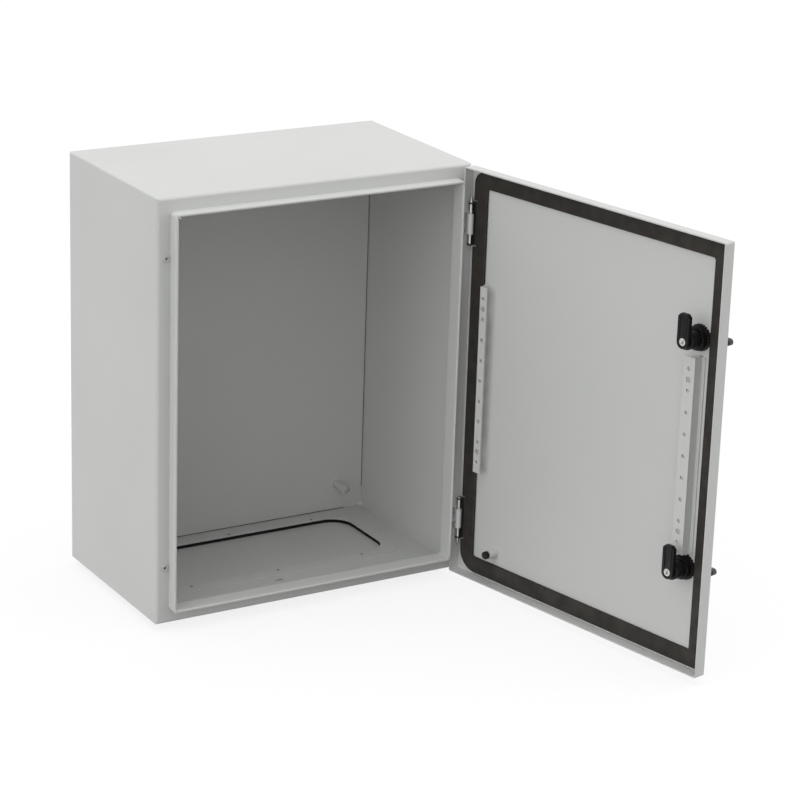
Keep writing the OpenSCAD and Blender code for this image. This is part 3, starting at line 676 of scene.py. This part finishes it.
@dataclass
class DoorAssembly:
    """The door: pan, foam, rails, hinge leaves and pins."""

    foam_round: float = 1.2 * MM
    foam_cad_corner: float = 25 * MM
    foam_top_corner: float = 15 * MM
    foam_slack: float = 0.05 * MM
    cap_round: float = 1.0 * MM
    leaf_edge: float = 0.3 * MM
    pin_edge: float = 0.25 * MM

    def build(self) -> None:
        """Dress the door's nodes and pour its foam."""
        dress(FINISH.powder, "door_pan", "hinge_side_rail", "lock_side_rail", "door_earth_stud")
        dress(FINISH.pin_steel, "hinge_clips")
        self.foam()
        for side in ("upper", "lower"):
            self.hinge(side)
        mesh = joined_copy("earth_stud_cap")
        soften(mesh, self.cap_round, 3)
        Piece("stud_cap", Body.DOOR, FINISH.black_plastic, "black_plastic").place(
            mesh, instead_of=("earth_stud_cap",))

    def foam(self) -> None:
        """Round the poured foam's top edges, as it sets with a soft crown."""
        mesh = joined_copy("door_gasket")
        self.tighten_top_corner(mesh)
        soften(mesh, self.foam_round, 4)
        piece = Piece("door_foam", Body.DOOR, FINISH.foam, "foam").place(mesh, instead_of=("door_gasket",))

    def tighten_top_corner(self, mesh: bmesh.types.BMesh) -> None:
        """Pull the foam's upper corner on the hinge side out to its own smaller radius.

        Args:
            mesh: The foam, with the door where it stands at rest.
        """
        swing = joint_of("door_swing")
        shut = (Matrix.Translation(swing["pos_m"])
                @ Matrix.Rotation(math.radians(swing["range_deg"][0]), 4, "Z")
                @ Matrix.Translation(-Vector(swing["pos_m"])))
        mesh.transform(shut)
        edge_x = max(vert.co.x for vert in mesh.verts)
        edge_z = max(vert.co.z for vert in mesh.verts)
        old, new = self.foam_cad_corner, self.foam_top_corner
        reach = old - self.foam_slack
        for vert in mesh.verts:
            out = Vector((vert.co.x - (edge_x - old), vert.co.z - (edge_z - old)))
            if min(out) > -self.foam_slack and out.length > reach:
                vert.co.x = edge_x - new + out.x * new / old
                vert.co.z = edge_z - new + out.y * new / old
        mesh.transform(shut.inverted())

    def hinge(self, side: str) -> None:
        """Round the leaf and the pin of one hinge.

        Args:
            side: upper or lower.
        """
        leaf = joined_copy(f"hinge_leaf_{side}")
        soften(leaf, self.leaf_edge)
        Piece(f"door_leaf_{side}", Body.DOOR, FINISH.dark_leaf, "dark_steel").place(
            leaf, instead_of=(f"hinge_leaf_{side}",))
        pin = joined_copy(f"hinge_pin_{side}")
        soften(pin, self.pin_edge)
        Piece(f"pin_{side}", Body.DOOR, FINISH.pin_steel, "steel").place(
            pin, instead_of=(f"hinge_pin_{side}",))


@dataclass
class QuarterTurnLock:
    """One lock: barrel, seal and nut on the door, knob, cam and screw on the rotor."""

    side: str
    rotor: Body
    edge: float = 0.5 * MM
    fine_edge: float = 0.25 * MM
    seal_edge: float = 0.2 * MM
    wing_edge: float = 0.9 * MM
    cross_len: float = 4.4 * MM
    cross_w: float = 1.3 * MM
    cross_depth: float = 1.9 * MM
    cross_turn: float = 25.0

    def build(self) -> None:
        """Round and dress every part of the lock."""
        for node, name, body, finish, slot, width in (
                ("lock_housing", "lock_barrel", Body.DOOR, FINISH.black_plastic, "black_plastic", self.edge),
                ("lock_nut", "ribbed_nut", Body.DOOR, FINISH.black_plastic, "black_plastic", self.fine_edge),
                ("lock_seal", "lock_washer", Body.DOOR, FINISH.seal, "foam", self.seal_edge),
                ("lock_knob", "winged_knob", self.rotor, FINISH.knob_plastic, "grey_lock", self.wing_edge),
                ("lock_cam", "cam", self.rotor, FINISH.black_plastic, "black_plastic", self.edge),
                ("cam_screw", "cam_screw_head", self.rotor, FINISH.zinc, "zinc", self.fine_edge)):
            mesh = joined_copy(f"{node}_{self.side}")
            soften(mesh, width)
            if node == "cam_screw":
                mesh = self.with_cross(mesh)
            piece = Piece(f"{name}_{self.side}", body, finish, slot).place(
                mesh, instead_of=(f"{node}_{self.side}",))

    def with_cross(self, screw: bmesh.types.BMesh) -> bmesh.types.BMesh:
        """Cut the cross recess into the head of the cam screw.

        Args:
            screw: The plain screw.

        Returns:
            The screw with its recess.
        """
        axis = Vector(joint_of(f"{self.side}_lock_turn")["axis"]).normalized()
        along = [vert.co.dot(axis) for vert in screw.verts]
        middle = sum((vert.co for vert in screw.verts), Vector()) / len(screw.verts)
        top = middle + axis * (min(along) - middle.dot(axis))
        up = Vector((0, 0, 1))
        head = Matrix((axis, up, axis.cross(up))).transposed().to_4x4()
        turn = Matrix.Rotation(math.radians(self.cross_turn), 4, "X")
        place = Matrix.Translation(top) @ head @ turn
        for wide, high in ((self.cross_len, self.cross_w), (self.cross_w, self.cross_len)):
            bar = bmesh.new()
            bulk = Matrix.Diagonal((2 * self.cross_depth, wide, high, 1.0))
            bmesh.ops.create_cube(bar, size=1.0, matrix=place @ bulk)
            screw = carved(screw, bar)
        return screw


# ------------------------------------------------------------------------------------------- stage


@dataclass(frozen=True)
class StudioCamera:
    """Camera of the main view: a long lens from the left, the front and above."""

    lens: float = 126.9
    sensor: float = 36.0
    place: tuple[float, float, float] = (-1.4890, -2.8928, 1.0347)
    azimuth: float = -31.044
    elevation: float = 18.829
    roll: float = 1.902
    near: float = 0.1
    far: float = 60.0

    def build(self) -> bpy.types.Object:
        """Set up the camera and make it the scene's camera.

        Returns:
            The camera object.
        """
        around, above = math.radians(self.azimuth), math.radians(self.elevation)
        back = Vector((math.sin(around) * math.cos(above), -math.cos(around) * math.cos(above),
                       math.sin(above)))
        right = (-back).cross(Vector((0, 0, 1))).normalized()
        up = back.cross(right)
        tilt = Matrix.Rotation(math.radians(self.roll), 3, back)
        axes = Matrix((tilt @ right, tilt @ up, back)).transposed()
        data = bpy.data.cameras.new("studio_camera")
        data.lens = self.lens
        data.sensor_width = self.sensor
        data.clip_start = self.near
        data.clip_end = self.far
        camera = bpy.data.objects.new("studio_camera", data)
        camera.matrix_world = Matrix.Translation(self.place) @ axes.to_4x4()
        bpy.context.scene.collection.objects.link(camera)
        bpy.context.scene.camera = camera
        return camera


@dataclass(frozen=True)
class SkyLobe:
    """One wide soft source: where it is, how tight it is and how bright."""

    towards: tuple[float, float, float]
    tightness: float
    level: float


@dataclass(frozen=True)
class Studio:
    """Pale floor and soft light from above and from the left."""

    floor_below: float = 1.0 * MM
    floor_size: float = 40.0
    floor_seen: float = 0.82
    floor_glow: float = 1.04
    floor_glow_share: float = 0.8
    floor_bounce: float = 0.3
    sky: tuple[SkyLobe, ...] = (
        SkyLobe((0.0, 0.0, 1.0), 8.0, 3.15),
        SkyLobe((-1.0, 0.0, 0.15), 2.0, 1.6),
        SkyLobe((-1.0, -0.1, 0.1), 16.0, 1.5),
        SkyLobe((-0.7, -0.7, 0.2), 5.0, 1.1),
        SkyLobe((0.7, -0.7, 0.3), 5.0, 1.35),
        SkyLobe((1.0, 0.0, 0.15), 2.0, 1.4),
        SkyLobe((0.0, 1.0, 0.3), 2.0, 0.25))

    def build(self, lowest: float) -> None:
        """Build the floor and the world.

        Args:
            lowest: Height of the lowest point of the object.
        """
        self.world()
        self.floor(lowest - self.floor_below)
        bpy.context.scene.view_settings.view_transform = "Standard"

    @staticmethod
    def seen_directly(tree: bpy.types.NodeTree) -> bpy.types.NodeSocket:
        """Add nodes that are 1 for camera, glossy and transmission rays.

        Args:
            tree: Node tree to add to.

        Returns:
            The socket that carries the value.
        """
        path = tree.nodes.new("ShaderNodeLightPath")
        first = tree.nodes.new("ShaderNodeMath")
        first.operation = "MAXIMUM"
        tree.links.new(path.outputs["Is Camera Ray"], first.inputs[0])
        tree.links.new(path.outputs["Is Glossy Ray"], first.inputs[1])
        second = tree.nodes.new("ShaderNodeMath")
        second.operation = "MAXIMUM"
        tree.links.new(first.outputs["Value"], second.inputs[0])
        tree.links.new(path.outputs["Is Transmission Ray"], second.inputs[1])
        return second.outputs["Value"]

    def world(self) -> None:
        """Light the scene from the soft patches of the sky."""
        world = bpy.data.worlds.new("soft_studio")
        bpy.context.scene.world = world
        world.use_nodes = True
        tree = world.node_tree
        nodes, links = tree.nodes, tree.links
        nodes.clear()
        coords = nodes.new("ShaderNodeTexCoord")
        ray = nodes.new("ShaderNodeVectorMath")
        ray.operation = "NORMALIZE"
        links.new(coords.outputs["Generated"], ray.inputs[0])
        total = None
        for lobe in self.sky:
            patch = nodes.new("ShaderNodeGroup")
            patch.node_tree = SkyLobeGroup.get()
            patch.inputs["Towards"].default_value = Vector(lobe.towards).normalized()
            patch.inputs["Tightness"].default_value = lobe.tightness
            patch.inputs["Level"].default_value = lobe.level
            links.new(ray.outputs["Vector"], patch.inputs["Ray"])
            joined = nodes.new("ShaderNodeMath")
            joined.operation = "ADD"
            joined.inputs[1].default_value = 0.0
            links.new(patch.outputs["Level"], joined.inputs[0])
            if total:
                links.new(total, joined.inputs[1])
            total = joined.outputs["Value"]
        soft = nodes.new("ShaderNodeBackground")
        links.new(total, soft.inputs["Strength"])
        white = nodes.new("ShaderNodeBackground")
        white.inputs["Color"].default_value = (1.0, 1.0, 1.0, 1.0)
        mix = nodes.new("ShaderNodeMixShader")
        links.new(self.seen_directly(tree), mix.inputs["Fac"])
        links.new(soft.outputs["Background"], mix.inputs[1])
        links.new(white.outputs["Background"], mix.inputs[2])
        out = nodes.new("ShaderNodeOutputWorld")
        links.new(mix.outputs["Shader"], out.inputs["Surface"])

    def floor(self, height: float) -> None:
        """Lay the floor: white to look at, and a dim source of bounced light.

        Args:
            height: Height of the floor.
        """
        mesh = bmesh.new()
        bmesh.ops.create_grid(mesh, x_segments=1, y_segments=1, size=self.floor_size)
        bmesh.ops.translate(mesh, vec=(0, 0, height), verts=mesh.verts)
        data = bpy.data.meshes.new("studio_floor")
        mesh.to_mesh(data)
        mesh.free()
        floor = bpy.data.objects.new("studio_floor", data)
        bpy.context.scene.collection.objects.link(floor)
        material = bpy.data.materials.new("pale_floor")
        material.use_nodes = True
        tree = material.node_tree
        nodes, links = tree.nodes, tree.links
        nodes.clear()
        seen = nodes.new("ShaderNodeBsdfDiffuse")
        seen.inputs["Color"].default_value = (self.floor_seen,) * 3 + (1.0,)
        glow = nodes.new("ShaderNodeEmission")
        glow.inputs["Color"].default_value = (1.0, 1.0, 1.0, 1.0)
        glow.inputs["Strength"].default_value = self.floor_glow
        white = nodes.new("ShaderNodeMixShader")
        white.inputs["Fac"].default_value = self.floor_glow_share
        links.new(seen.outputs["BSDF"], white.inputs[1])
        links.new(glow.outputs["Emission"], white.inputs[2])
        dim = nodes.new("ShaderNodeBsdfDiffuse")
        dim.inputs["Color"].default_value = (self.floor_bounce,) * 3 + (1.0,)
        mix = nodes.new("ShaderNodeMixShader")
        links.new(self.seen_directly(tree), mix.inputs["Fac"])
        links.new(dim.outputs["BSDF"], mix.inputs[1])
        links.new(white.outputs["Shader"], mix.inputs[2])
        out = nodes.new("ShaderNodeOutputMaterial")
        links.new(mix.outputs["Shader"], out.inputs["Surface"])
        data.materials.append(material)


def main() -> None:
    """Build the looks in order."""
    logging.basicConfig(level=logging.INFO, format="%(message)s")
    EnclosureBody().build()
    DoorAssembly().build()
    QuarterTurnLock("upper", Body.UPPER_LOCK).build()
    QuarterTurnLock("lower", Body.LOWER_LOCK).build()
    Studio().build(CAD_BOX[0][2])
    StudioCamera().build()


if __name__ == "__main__":
    main()
